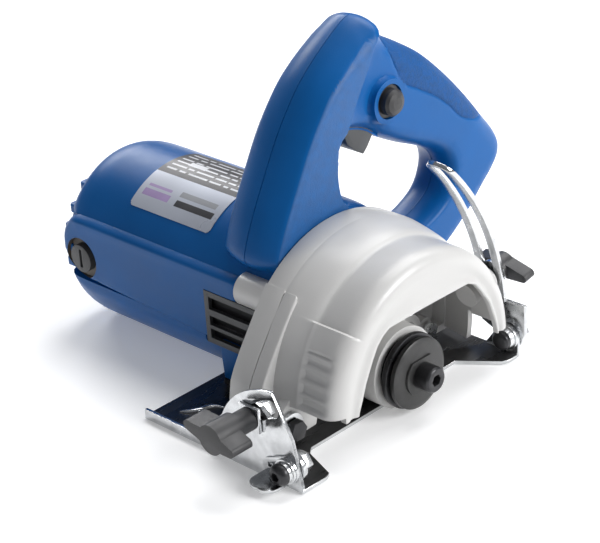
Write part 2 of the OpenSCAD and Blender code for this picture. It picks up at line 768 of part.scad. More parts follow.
module handle_screws() {
  color("silver") for (p = grip_screws) {
    rod_y(p, 1.55, handle_y0 + 2, -17);
    rod_y(p, 3.7, handle_y0 + 0.6, handle_y0 + 3);
  }
}
module switch_body() {
  color("#303133") translate([-54, -31, 139]) rotate([0, -31, 0]) cube([30, 15, 15], center = true);
}
module trigger() {
  color("#3b3d40") difference() {
    along_y(-38, -24) {
      translate(pin_xz) circle(3.1);
      polygon([[-18, 128.6], [-40, 125.5], [-44, 122.5], [-42, 111.5], [-38, 106.5], [-35.2, 104], [-30, 107.5],
               [-24.5, 112.5], [-21.9, 119.5], [-21.9, 124]]);
    }
    rod_y(pin_xz, 1.5 + run, -40, -22);
  }
}
module trigger_pin() {
  color("silver") rod_y(pin_xz, 1.5, -44.5, -17.5);
}
module lock_button() {
  color("#2b2c2e") translate([lock_xz[0], 0, lock_xz[1]]) rotate([-90, 0, 0]) rotate_extrude()
    polygon([[0, -20.5], [3, -20.5], [3, -17], [8.2, -17], [8.2, -15.3], [6.6, -15.3], [6.6, -11.4],
             [5.4, -10], [3, -9.2], [0, -9]]);
}
module cord_gland() {
  out = handle_y0;
  color("#222325") translate([-121, 0, 78]) rotate([-90, 0, 0]) rotate_extrude()
    polygon([[3.6, out - 8.4], [5.2, out - 8.4], [5.9, out - 1.2], [8, out - 1.2], [8, out], [6.2, out],
             [6.2, -40], [4.6, -40], [4.6, out - 0.4], [3.6, out - 0.4]]);
}

base_plate();
sight_guide();
pivot_bolts();
pivot_washers();
pivot_nuts();
front_bracket();
clamp_nut();
clamp_washer();
depth_guide();
front_wing_knob();
front_wing_stud();
rear_wing_knob();
rear_wing_insert();
motor_housing();
vent_grille();
rating_label();
rest_foot();
brush_caps();
brush_holders();
carbon_brushes();
brush_springs();
stator_core();
field_coils();
motor_bearings();
armature_shaft();
armature_core();
armature_windings();
commutator();
cooling_fan();
gear_housing();
motor_screws();
bearing_box();
cover_screws();
spindle_bearings();
blade_case();
case_screws();
depth_pivot_bolt();
depth_stud();
depth_washer();
spindle_shaft();
spindle_gear();
inner_flange();
outer_flange();
clamp_bolt();
handle_left();
handle_right();
handle_screws();
switch_body();
trigger();
trigger_pin();
lock_button();
cord_gland();
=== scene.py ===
import json
import math

import bmesh
import bpy
import numpy as np
from mathutils import Matrix, Vector
from mathutils.geometry import delaunay_2d_cdt


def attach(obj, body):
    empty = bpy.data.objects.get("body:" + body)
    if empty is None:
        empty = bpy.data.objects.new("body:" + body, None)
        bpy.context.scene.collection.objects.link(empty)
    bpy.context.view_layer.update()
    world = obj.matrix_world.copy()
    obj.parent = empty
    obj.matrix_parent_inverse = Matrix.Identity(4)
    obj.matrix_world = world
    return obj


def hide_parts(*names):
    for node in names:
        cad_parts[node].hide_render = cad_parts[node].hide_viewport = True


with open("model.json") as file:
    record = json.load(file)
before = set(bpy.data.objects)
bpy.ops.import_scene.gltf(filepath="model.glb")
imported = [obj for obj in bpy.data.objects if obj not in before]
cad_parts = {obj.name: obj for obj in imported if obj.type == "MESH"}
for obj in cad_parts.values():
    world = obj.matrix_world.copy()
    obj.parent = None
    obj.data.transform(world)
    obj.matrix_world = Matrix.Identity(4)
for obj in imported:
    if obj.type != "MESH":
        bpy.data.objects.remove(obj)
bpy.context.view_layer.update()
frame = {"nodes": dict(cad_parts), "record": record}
MM = 0.001


# ---------------------------------------------------------------- materials

def ramp(nodes, low, high, positions=(0.3, 0.7)):
    node = nodes.new("ShaderNodeValToRGB")
    first, second = node.color_ramp.elements
    first.position, second.position = positions
    first.color, second.color = (*low, 1), (*high, 1)
    return node


def finish_material(name, color, rough, metal=0.0, spread=0.06, rough_spread=0.06, patch=45.0,
                    grain=900.0, bump=0.08, stretch=(1, 1, 1), coat=0.0, dirt=0.0, specular=0.5):
    """Principled material with colour variation, uneven gloss and a fine surface grain."""
    mat = bpy.data.materials.new(name)
    mat.use_nodes = True
    nodes, links = mat.node_tree.nodes, mat.node_tree.links
    shader = nodes["Principled BSDF"]
    shader.inputs["Metallic"].default_value = metal
    shader.inputs["Coat Weight"].default_value = coat
    shader.inputs["Specular IOR Level"].default_value = specular
    shader.inputs["Coat Roughness"].default_value = 0.15
    place = nodes.new("ShaderNodeTexCoord")
    scale = nodes.new("ShaderNodeMapping")
    scale.inputs["Scale"].default_value = stretch
    links.new(place.outputs["Object"], scale.inputs["Vector"])

    broad = nodes.new("ShaderNodeTexNoise")
    broad.inputs["Scale"].default_value = patch
    broad.inputs["Detail"].default_value = 4
    links.new(scale.outputs["Vector"], broad.inputs["Vector"])
    tint = ramp(nodes, [c * (1 - spread) for c in color], [min(1, c * (1 + spread)) for c in color])
    links.new(broad.outputs["Fac"], tint.inputs["Fac"])
    colour_out = tint.outputs["Color"]

    fine = nodes.new("ShaderNodeTexNoise")
    fine.inputs["Scale"].default_value = grain
    fine.inputs["Detail"].default_value = 3
    links.new(scale.outputs["Vector"], fine.inputs["Vector"])

    if dirt > 0:
        worn = nodes.new("ShaderNodeMix")
        worn.data_type = "RGBA"
        worn.inputs["B"].default_value = (*[c * (1 - dirt) for c in color], 1)
        spots = nodes.new("ShaderNodeMapRange")
        spots.inputs["From Min"].default_value = 0.52
        spots.inputs["From Max"].default_value = 0.72
        links.new(fine.outputs["Fac"], spots.inputs["Value"])
        links.new(spots.outputs["Result"], worn.inputs["Factor"])
        links.new(colour_out, worn.inputs["A"])
        colour_out = worn.outputs["Result"]
    links.new(colour_out, shader.inputs["Base Color"])

    gloss = nodes.new("ShaderNodeMapRange")
    gloss.inputs["From Min"].default_value = 0.3
    gloss.inputs["From Max"].default_value = 0.7
    gloss.inputs["To Min"].default_value = max(0.02, rough - rough_spread)
    gloss.inputs["To Max"].default_value = min(1.0, rough + rough_spread)
    links.new(broad.outputs["Fac"], gloss.inputs["Value"])
    links.new(gloss.outputs["Result"], shader.inputs["Roughness"])

    relief = nodes.new("ShaderNodeBump")
    relief.inputs["Strength"].default_value = bump
    relief.inputs["Distance"].default_value = 0.0004
    links.new(fine.outputs["Fac"], relief.inputs["Height"])
    links.new(relief.outputs["Normal"], shader.inputs["Normal"])
    return mat


def make_glow(mat, strength):
    shader = mat.node_tree.nodes["Principled BSDF"]
    shader.inputs["Emission Color"].default_value = (1, 1, 1, 1)
    shader.inputs["Emission Strength"].default_value = strength


def make_materials():
    """One material for each slot of the record."""
    m = {}
    m["blue_plastic"] = finish_material("blue_plastic", (0.001, 0.088, 0.30), 0.36, spread=0.08,
                                        grain=2600, bump=0.16, patch=30, specular=0.22)
    m["blue_panel"] = finish_material("blue_panel", (0.006, 0.088, 0.28), 0.46, spread=0.12,
                                      grain=2200, bump=0.42, patch=260, dirt=0.12, specular=0.45)
    m["blue_grip"] = finish_material("blue_grip", (0.003, 0.066, 0.23), 0.5, spread=0.18,
                                     grain=1500, bump=0.9, patch=400, dirt=0.25, specular=0.2)
    m["grey_paint"] = finish_material("grey_paint", (0.52, 0.515, 0.505), 0.36, spread=0.025,
                                      grain=1500, bump=0.09, coat=0.15)
    m["base_steel"] = finish_material("base_steel", (0.60, 0.61, 0.62), 0.2, metal=1.0, spread=0.14,
                                      rough_spread=0.09, patch=70, grain=260, bump=0.05,
                                      stretch=(0.5, 2.5, 2.5))
    # Dark copy of the base steel: a painted dark reflection for the upward faces of the base floor
    m["base_painted_reflection"] = finish_material("base_painted_reflection", (0.035, 0.035, 0.036), 0.3, metal=0.5, spread=0.3,
                                     rough_spread=0.12, patch=60, grain=240, bump=0.08,
                                     stretch=(0.5, 2.5, 2.5))
    m["zinc"] = finish_material("zinc", (0.66, 0.67, 0.68), 0.25, metal=1.0, spread=0.1, patch=160)
    m["dark_steel"] = finish_material("dark_steel", (0.045, 0.045, 0.048), 0.33, metal=0.7, spread=0.2,
                                      patch=200, grain=1400)
    m["flange_steel"] = finish_material("flange_steel", (0.05, 0.05, 0.05), 0.38, metal=0.6,
                                        spread=0.14, patch=160)
    m["bright_steel"] = finish_material("bright_steel", (0.62, 0.63, 0.64), 0.22, metal=1.0, patch=200)
    m["black_plastic"] = finish_material("black_plastic", (0.022, 0.022, 0.024), 0.42, spread=0.15,
                                         grain=2600, bump=0.3, patch=120)
    m["grey_plastic"] = finish_material("grey_plastic", (0.045, 0.047, 0.05), 0.45, spread=0.14,
                                        grain=2600, bump=0.3, patch=120)
    m["label"] = finish_material("label", (0.50, 0.53, 0.60), 0.32, metal=0.35, spread=0.05, patch=25)
    m["label_dark"] = finish_material("label_dark", (0.035, 0.035, 0.04), 0.35, spread=0.1, patch=90)
    m["label_accent"] = finish_material("label_accent", (0.33, 0.24, 0.44), 0.35, spread=0.1, patch=90)
    m["label_grey"] = finish_material("label_grey", (0.27, 0.28, 0.30), 0.4, metal=0.3, spread=0.05,
                                      patch=25)
    m["label_print"] = finish_material("label_print", (0.62, 0.63, 0.66), 0.4, spread=0.05, patch=25)
    m["cap_ring"] = finish_material("cap_ring", (0.10, 0.085, 0.07), 0.5, spread=0.1, patch=90, bump=0.3)
    m["rubber"] = finish_material("rubber", (0.02, 0.02, 0.021), 0.7, spread=0.2, grain=1800, bump=0.4)
    m["brass"] = finish_material("brass", (0.55, 0.37, 0.12), 0.32, metal=1.0)
    m["copper"] = finish_material("copper", (0.42, 0.15, 0.06), 0.35, metal=0.9, grain=700, bump=0.5)
    m["carbon"] = finish_material("carbon", (0.03, 0.03, 0.03), 0.6)
    m["laminations"] = finish_material("laminations", (0.16, 0.16, 0.17), 0.45, metal=0.8, bump=0.5,
                                       grain=500, stretch=(1, 8, 1))
    # Near black: painted shade for the inside of the motor seen through the vent window
    m["vent_painted_shade"] = finish_material("vent_painted_shade", (0.02, 0.02, 0.022), 0.75)
    return m


MAT = make_materials()
SLOT_OF = {s["node"]: s["material_slot"] for s in frame["record"]["subparts"]}
BODY_OF = {n: b for b, names in frame["record"]["behaviour"]["bodies"].items() for n in names}


def dress_cad_nodes():
    """The record's material on every CAD node."""
    for name, obj in frame["nodes"].items():
        obj.data.materials.clear()
        obj.data.materials.append(MAT[SLOT_OF[name]])


# ---------------------------------------------------------------- mesh helpers

def piece(name, mesh, body, material, replaces=(), sharp=35):
    """A finished mesh as an object that rides on a body."""
    obj = bpy.data.objects.new(name, mesh)
    bpy.context.scene.collection.objects.link(obj)
    mesh.polygons.foreach_set("use_smooth", [True] * len(mesh.polygons))
    mesh.set_sharp_from_angle(angle=math.radians(sharp))
    if not mesh.materials:
        mesh.materials.append(MAT[material])
    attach(obj, body)
    if replaces:
        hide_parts(*replaces)
    return obj


def baked(mesh, *modifiers):
    """The mesh after a stack of (type, settings) modifiers."""
    obj = bpy.data.objects.new("tmp", mesh)
    bpy.context.scene.collection.objects.link(obj)
    for kind, settings in modifiers:
        mod = obj.modifiers.new(kind, kind)
        for key, value in settings.items():
            setattr(mod, key, value)
    graph = bpy.context.evaluated_depsgraph_get()
    result = bpy.data.meshes.new_from_object(obj.evaluated_get(graph))
    bpy.data.objects.remove(obj)
    return result


def softened(node, width, segments=2, angle=32):
    """A copy of a CAD node's mesh with its hard edges rounded over."""
    bm = bmesh.new()
    bm.from_mesh(frame["nodes"][node].data)
    bmesh.ops.remove_doubles(bm, verts=bm.verts, dist=1e-6)
    bmesh.ops.dissolve_limit(bm, angle_limit=math.radians(1.0), verts=bm.verts, edges=bm.edges)
    mesh = bpy.data.meshes.new(node + "_soft")
    bm.to_mesh(mesh)
    bm.free()
    return baked(mesh, ("BEVEL", dict(width=width, segments=segments, limit_method="ANGLE",
                                      angle_limit=math.radians(angle), harden_normals=False,
                                      use_clamp_overlap=True)))


def soften_nodes(names, width, segments=2):
    """Softened copies in place of CAD nodes."""
    for node in names:
        piece(node + "_look", softened(node, width, segments), BODY_OF[node], SLOT_OF[node],
              replaces=(node,))


# ---------------------------------------------------------------- plates with a modelled surface

def flowing(points, step, closed=True):
    """Smooth line through 2D points, resampled about every step."""
    pts = [np.array(p, float) for p in points]
    n = len(pts)
    spans = n if closed else n - 1
    out = []
    for i in range(spans):
        if closed:
            a, b, c, d = (pts[(i + k) % n] for k in (-1, 0, 1, 2))
        else:
            a, b, c, d = pts[max(i - 1, 0)], pts[i], pts[i + 1], pts[min(i + 2, n - 1)]
        length = np.linalg.norm(c - b)
        ta = (c - a) / max(np.linalg.norm(c - b) + np.linalg.norm(b - a), 1e-9) * length
        tb = (d - b) / max(np.linalg.norm(d - c) + np.linalg.norm(c - b), 1e-9) * length
        count = max(1, round(length / step))
        for k in range(count):
            t = k / count
            h = (2 * t**3 - 3 * t**2 + 1, t**3 - 2 * t**2 + t, 3 * t**2 - 2 * t**3, t**3 - t**2)
            out.append(h[0] * b + h[1] * ta + h[2] * c + h[3] * tb)
    if not closed:
        out.append(pts[-1])
    return np.array(out)


def to_line(points, line, closed):
    """Distance of each point from a line, the place along it, and the side."""
    a = line if closed else line[:-1]
    b = np.roll(line, -1, 0) if closed else line[1:]
    best = np.full(len(points), 1e9)
    where = np.zeros(len(points))
    side = np.zeros(len(points))
    for i, (p, q) in enumerate(zip(a, b)):
        d = q - p
        rel = points - p
        t = np.clip(rel @ d / max(d @ d, 1e-12), 0, 1)
        gap = rel - t[:, None] * d
        dist = np.hypot(gap[:, 0], gap[:, 1])
        near = dist < best
        best = np.where(near, dist, best)
        where = np.where(near, i + t, where)
        side = np.where(near, np.sign(d[0] * rel[:, 1] - d[1] * rel[:, 0]), side)
    return best, where, side


def inside(points, loop):
    a, b = loop, np.roll(loop, -1, 0)
    hit = np.zeros(len(points), bool)
    for p, q in zip(a, b):
        cross = (p[1] > points[:, 1]) != (q[1] > points[:, 1])
        x = (q[0] - p[0]) * (points[:, 1] - p[1]) / (q[1] - p[1] + 1e-12) + p[0]
        hit ^= cross & (points[:, 0] < x)
    return hit


def inward(loop, hole):
    """Unit normals of a closed line that point into the material."""
    d = np.roll(loop, -1, 0) - np.roll(loop, 1, 0)
    n = np.stack([-d[:, 1], d[:, 0]], 1)
    n /= np.linalg.norm(n, axis=1)[:, None]
    area = np.sum(loop[:, 0] * np.roll(loop[:, 1], -1) - loop[:, 1] * np.roll(loop[:, 0], -1))
    return n * (np.sign(area) * (-1 if hole else 1))


def cloud(loops, rings, step, lines=(), offsets=()):
    """Points between the loops: rings along the edges, rows along the lines and a grid for the rest."""
    rows = []
    margin = max(rings, default=0) + step * 0.6

    def clear(points, least):
        keep = inside(points, loops[0])
        for hole in loops[1:]:
            keep &= ~inside(points, hole)
        for loop in loops:
            keep &= to_line(points, loop, True)[0] >= least
        return points[keep]

    for d in rings:
        for i, loop in enumerate(loops):
            rows.append(clear(loop + inward(loop, i > 0) * d, d * 0.97))
    for line in lines:
        d = np.gradient(line, axis=0)
        n = np.stack([-d[:, 1], d[:, 0]], 1)
        n /= np.linalg.norm(n, axis=1)[:, None]
        for off in offsets:
            rows.append(clear(line + n * off, 0.3))
    low, high = loops[0].min(0), loops[0].max(0)
    xs, ys = np.meshgrid(np.arange(low[0], high[0], step), np.arange(low[1], high[1], step * 0.87))
    xs[1::2] += step / 2
    grid = clear(np.stack([xs.ravel(), ys.ravel()], 1), margin)
    for line in lines:
        grid = grid[to_line(grid, line, False)[0] > max(np.abs(offsets)) + step * 0.5]
    rows.append(grid)
    return np.concatenate(rows)


def tiled(loops, points):
    """Triangles over the area between the loops. The loops' points come first, in order."""
    edges, base = [], 0
    for loop in loops:
        n = len(loop)
        edges += [(base + i, base + (i + 1) % n) for i in range(n)]
        base += n
    all_points = np.concatenate(list(loops) + [points]) if len(points) else np.concatenate(loops)
    _, _, faces, orig, _, _ = delaunay_2d_cdt([Vector(p) for p in all_points], edges, [], 0, 1e-5)
    back = [o[0] for o in orig]
    tris = np.array([[back[i] for i in f] for f in faces if len(f) == 3])
    mid = all_points[tris].mean(1)
    keep = inside(mid, loops[0])
    for hole in loops[1:]:
        keep &= ~inside(mid, hole)
    return all_points, tris[keep]


def solid_plate(name, loops, points, height, floor_height, to_world, inset=0.45, floor_points=None):
    """Closed mesh with a modelled top: height(points) over the loops, and a bottom inset a little."""
    top, top_faces = tiled(loops, points)
    low_loops = [loop + inward(loop, i > 0) * inset for i, loop in enumerate(loops)]
    low, low_faces = tiled(low_loops, floor_points if floor_points is not None else np.zeros((0, 2)))
    co = [to_world(p, h) for p, h in zip(top, height(top))]
    co += [to_world(p, h) for p, h in zip(low, floor_height(low))]
    bm = bmesh.new()
    verts = [bm.verts.new(c) for c in co]
    shift = len(top)
    for f in top_faces:
        bm.faces.new([verts[i] for i in f])
    for f in low_faces:
        bm.faces.new([verts[shift + i] for i in reversed(f)])
    base = 0
    for loop in loops:
        n = len(loop)
        for i in range(n):
            a, b = base + i, base + (i + 1) % n
            bm.faces.new([verts[b], verts[a], verts[shift + a], verts[shift + b]])
        base += n
    bmesh.ops.recalc_face_normals(bm, faces=bm.faces)
    loose = [v for v in bm.verts if not v.link_faces]
    bmesh.ops.delete(bm, geom=loose, context="VERTS")
    mesh = bpy.data.meshes.new(name)
    bm.to_mesh(mesh)
    bm.free()
    return mesh


# ---------------------------------------------------------------- handle
# Outlines are (x, z) in millimetres, in the frame of the record

SPLIT_Y = -31.0
GRIP_FACE = 13.4     # half thickness of the grip
POST_STEP = 4.6      # how much thicker the front post is
HANDLE_EDGE = [(39.6, 72.4), (41, 76), (38.4, 84.5), (33.9, 94.4), (23.4, 113.7), (14.9, 128.2),
               (6.7, 139.5), (-2.1, 149.5), (-12.3, 158.1), (-24.7, 166.6), (-32.5, 171),
               (-37.8, 172.4), (-43, 170.8), (-47.4, 166.6), (-50.6, 161.4), (-54, 158.4),
               (-67.3, 150.4), (-81.3, 141.1), (-95.6, 128.3), (-110.9, 112.3), (-125.2, 95),
               (-133.5, 84.4), (-136.3, 77), (-134.4, 69.5), (-128.5, 62.8), (-119.7, 55.6), (-108, 46),
               (-91.5, 35.6), (-75, 28), (-58, 24), (-32, 24), (-28, 45), (-25, 62), (0, 74), (24, 66),
               (34, 67.5)]
FINGER_HOLE = [(-11.2, 90), (-7.8, 101), (-8.6, 111.5), (-13, 119), (-24, 120), (-36, 116),
               (-47, 108.4), (-63, 99.4), (-77, 92.8), (-88, 86.2), (-92.2, 79), (-91.8, 72),
               (-87.6, 64.2), (-79, 58.8), (-69, 55.3), (-60, 53.7), (-52, 55.5), (-46, 61), (-40, 70),
               (-33, 78), (-25, 84.2), (-18, 87.4)]
POST_BACK = [(-13.5, 80), (-10.7, 94.7), (-9.3, 105.3), (-9.4, 114), (-12, 121.2), (-17.4, 131.2),
             (-23.4, 141.5), (-29.5, 151), (-34, 160), (-40, 165), (-52, 170)]
GRIP_LINE = [(-43.5, 170), (-46.5, 162), (-50.5, 153), (-53.5, 144), (-59, 134.3), (-69.3, 127.8),
             (-81.8, 120), (-91.4, 112), (-99.4, 103.8), (-107.7, 99.2), (-118, 97), (-130, 98),
             (-140, 100)]
LOCK_XZ = np.array([-45, 130])
LOCK_WELL_R, LOCK_RING_R, LOCK_SKIRT_R = 8.6, 11.2, 15.5
LOCK_WELL_FLOOR = 7.9    # low enough for the button pushed right in
SCREW_HEADS = [(9, 112, 17.6), (-36, 162, 11.4), (-115, 96, 10.8), (-116, 65, 12.4), (-72, 38, 12.7)]
# How far in from the edge the side starts, at each point of the edge
EDGE_ROUND = [4.6, 4.8, 4.8, 4.8, 4.8, 4.8, 5, 5.4, 6, 7, 8.2, 9.5, 10.5, 11, 11.5, 12, 13, 13, 13, 13,
              12.5, 12, 11.5, 10.5, 9.5, 9, 8, 7, 6, 5, 0.6, 0.6, 0.6, 0.6, 0.6, 2.5]
HOLE_ROUND = [1.6, 1.6, 2, 5, 8, 8.5, 8.5, 8.5, 8, 7, 6, 5.5, 5, 4.5, 4, 3, 2, 1.2, 1, 1, 1, 1]
TRIGGER_WINDOW = np.array([(-21.2, 127), (-20.2, 112), (-29, 99), (-38, 96), (-46.3, 101), (-47.8, 124.5)])


def spread_values(values, control, line):
    """Values given at the control points, for every point of the smoothed line."""
    at = [int(np.argmin(np.hypot(*(line - np.array(p)).T))) for p in control]
    n = len(line)
    xs = np.array(at + [at[0] + n]) - at[0]
    return np.interp((np.arange(n) - at[0]) % n, xs, list(values) + [values[0]])


def handle_half(side):
    """Half of the handle: side 1 faces the blade, side -1 the motor."""
    edge = flowing(HANDLE_EDGE, 2.2)
    hole = flowing(FINGER_HOLE, 2.0)
    back = flowing(POST_BACK, 2.0, closed=False)
    border = flowing(GRIP_LINE, 1.6, closed=False)
    edge_round = spread_values(EDGE_ROUND, HANDLE_EDGE, edge)
    hole_round = spread_values(HOLE_ROUND, FINGER_HOLE, hole)

    def parts(points):
        d_edge, at, _ = to_line(points, edge, True)
        w_edge = np.interp(at, np.arange(len(edge) + 1), np.append(edge_round, edge_round[0]))
        d_hole, at, _ = to_line(points, hole, True)
        w_hole = np.interp(at, np.arange(len(hole) + 1), np.append(hole_round, hole_round[0]))
        d_back, _, which = to_line(points, back, False)
        return d_edge, w_edge, d_hole, w_hole, d_back * which

    def height(points):
        d_edge, w_edge, d_hole, w_hole, behind = parts(points)
        behind = np.clip(behind, 0, None)
        face = GRIP_FACE + POST_STEP * np.exp(-behind / 1.5)
        on_post = np.exp(-(behind / 4.0) ** 2) * np.clip((points[:, 0] + 40) / 6, 0, 1)
        s = d_edge / w_edge
        t = np.clip(s - 0.8, 0, 0.38)
        post = np.where(s < 0.8, np.sqrt(np.clip(s, 0, None)), 0.8944 + 0.559 * t - 0.7355 * t * t)
        grip = np.sqrt(1 - (1 - np.clip(s, 0, 1)) ** 2)
        edge_part = post * on_post + grip * (1 - on_post)
        hole_part = np.sqrt(1 - (1 - np.clip(d_hole / w_hole, 0, 1)) ** 2)
        h = face * edge_part * hole_part
        r = np.hypot(*(points - LOCK_XZ).T)
        boss = 15.3 * np.clip((LOCK_SKIRT_R - r) / 4.5, 0, 1) ** 0.7 * hole_part
        boss = np.where(r < LOCK_RING_R, 16.9 * hole_part, boss)
        boss = np.where(r < LOCK_WELL_R, LOCK_WELL_FLOOR, boss)
        h = np.where(r < LOCK_WELL_R, boss, np.maximum(h, boss)) if side > 0 else h
        d_line, _, _ = to_line(points, border, False)
        h -= 0.55 * np.exp(-(d_line / 0.55) ** 2) * np.clip(d_edge / 3, 0, 1)
        near_hole = np.abs(d_hole) < 0.01
        in_window = inside(points, TRIGGER_WINDOW)
        low = np.where(near_hole & in_window, 7.35, 0.32)
        return np.maximum(h, low)

    def floor_height(points):
        return np.where(inside(points, TRIGGER_WINDOW), 7.3, 0.015)

    loops = [edge, hole]
    lines = [back, border]
    points = cloud(loops, [0.12, 0.4, 0.9, 1.6, 2.5, 3.6, 4.6, 5.6], 3.0, lines,
                   (-1.4, -0.7, -0.3, 0, 0.3, 0.7, 1.4, 2.6))
    if side > 0:
        angles = np.linspace(0, 2 * np.pi, 48, endpoint=False)
        rim = [LOCK_XZ + r * np.array([np.cos(a), np.sin(a)])
               for r in (8.55, 8.65, 9.8, 11.15, 11.25, 12.2, 13.4, 14.6, 15.6) for a in angles]
        r = np.hypot(*(points - LOCK_XZ).T)
        d_hole = to_line(np.array(rim), hole, True)[0]
        rim = np.array(rim)[(d_hole > 0.4) & ~inside(np.array(rim), hole)]
        points = np.concatenate([points[(r < 8) | (r > 16.2)], rim])
    window = flowing([tuple(p) for p in TRIGGER_WINDOW], 2.5)
    rows = np.concatenate([window + inward(window, False) * d for d in (0.08, -0.08)])
    ok = inside(rows, edge) & ~inside(rows, hole) & (to_line(rows, hole, True)[0] > 0.7)
    mesh = solid_plate("handle", loops, points, height, floor_height,
                       lambda p, h: Vector((p[0], SPLIT_Y + side * h, p[1])) * MM, floor_points=rows[ok])
    mesh.materials.append(MAT["blue_plastic"])
    mesh.materials.append(MAT["blue_panel"])
    mesh.materials.append(MAT["blue_grip"])
    centres = np.array([(p.center.x, p.center.z) for p in mesh.polygons]) / MM
    depth = np.array([abs(p.center.y / MM - SPLIT_Y) for p in mesh.polygons])
    _, _, over = to_line(centres, border, False)
    _, _, _, _, behind = parts(centres)
    d_edge, w_edge, _, _, _ = parts(centres)
    for i, poly in enumerate(mesh.polygons):
        if over[i] < 0 and behind[i] > 4 and depth[i] > 0.4:
            poly.material_index = 2
        elif behind[i] < 0 and d_edge[i] > w_edge[i] * 0.9 and depth[i] > 16:
            poly.material_index = 1
    name = "right" if side > 0 else "left"
    piece(f"handle_{name}_look", mesh, "saw", "blue_plastic", replaces=(f"handle_{name}",), sharp=48)


def handle_screws():
    """Screw heads on the motor side of the handle; the third value is how far out the surface lies there."""
    for i, (x, z, out) in enumerate(SCREW_HEADS):
        y = SPLIT_Y - out
        profile = [(0.1, y + 2.4), (3.2, y + 2.4), (3.4, y + 0.1), (3.0, y - 0.45), (1.5, y - 0.6),
                   (1.4, y - 0.1), (0.1, y - 0.1)]
        piece(f"handle_screw_{i + 1}", turned("head", profile, (x, z), "y", 32), "saw",
              SLOT_OF["handle_screws"], replaces=("handle_screws",) if i == 0 else ())


# ---------------------------------------------------------------- motor

MOTOR_Z, MOTOR_R = 42.0, 46.5
MOTOR_UNDERSIDE = 5.1
FLAT_HALF = 43.2      # half width over the flat sides
BEHIND_PAD = 36       # half width behind the side pads
BRUSH = (-149.7, MOTOR_Z)      # (y, z) of the brush caps
CAP_RECESS_R = 11.05
VENT_REAR, VENT_LOW, VENT_TOP = -58.2, 25, 52.9      # window for the grille in a side pad


def swept(name, rows):
    """Closed mesh from equal rings of points, in millimetres."""
    bm = bmesh.new()
    rings = [[bm.verts.new(Vector(p) * MM) for p in row] for row in rows]
    n = len(rings[0])
    for a, b in zip(rings, rings[1:]):
        for i in range(n):
            j = (i + 1) % n
            bm.faces.new([a[i], a[j], b[j], b[i]])
    bm.faces.new(list(reversed(rings[0])))
    bm.faces.new(rings[-1])
    bmesh.ops.recalc_face_normals(bm, faces=bm.faces)
    mesh = bpy.data.meshes.new(name)
    bm.to_mesh(mesh)
    bm.free()
    return mesh


def turned(name, profile, centre, axis, steps=64):
    """Lathe-turned solid: profile is [(radius, place along the axis)]."""
    rows = []
    for r, s in profile:
        row = []
        for k in range(steps):
            a = 2 * math.pi * k / steps
            u, v = max(r, 0.02) * math.cos(a), max(r, 0.02) * math.sin(a)
            across = (centre[0] + u, centre[1] + v)
            row.append((s, *across) if axis == "x" else (across[0], s, across[1]))
        rows.append(row)
    return swept(name, rows)


def motor_barrel():
    """Turned body of the motor with louvres across its tail."""
    profile = [(30, -14), (45.9, -13.5), (46.5, -14.4), (46.5, -59.4), (46.5, -60.4), (46.5, -146),
               (46.4, -150), (46, -154), (45.2, -157.4), (44, -160), (42.2, -162), (39.6, -163.8),
               (36, -164.8), (24, -165.4), (5, -165.7)]
    mesh = turned("barrel", profile, (0, MOTOR_Z), "y", 160)
    # Flat sides, let in further behind the side pads, and a flat underside
    for v in mesh.vertices:
        low = VENT_LOW - 0.5 if v.co.y > -60 * MM else 31
        half = (BEHIND_PAD if low < v.co.z / MM < 64 else FLAT_HALF) * MM
        v.co.x = min(max(v.co.x, -half), half)
        v.co.z = max(v.co.z, MOTOR_UNDERSIDE * MM)
    piece("motor_barrel", mesh, "saw", "blue_plastic",
          replaces=("motor_housing",), sharp=50)
    # Louvres across the tail
    for k in range(-3, 4):
        z = MOTOR_Z + k * 9.2 + 2
        half = math.sqrt(max(42.2**2 - (abs(z - MOTOR_Z) + 2.6)**2, 4))
        row = [(-half, -159), (half, -159), (half, -165.4), (half - 1.4, -166.8),
               (-half + 1.4, -166.8), (-half, -165.4)]
        mesh = swept("louvre", [[(x, y, z + dz) for x, y in row] for dz in (-2.5, 2.5)])
        mesh = baked(mesh, ("BEVEL", dict(width=0.9 * MM, segments=3, limit_method="ANGLE",
                                          angle_limit=math.radians(30))))
        piece(f"tail_louvre_{k + 4}", mesh, "saw", "blue_plastic")


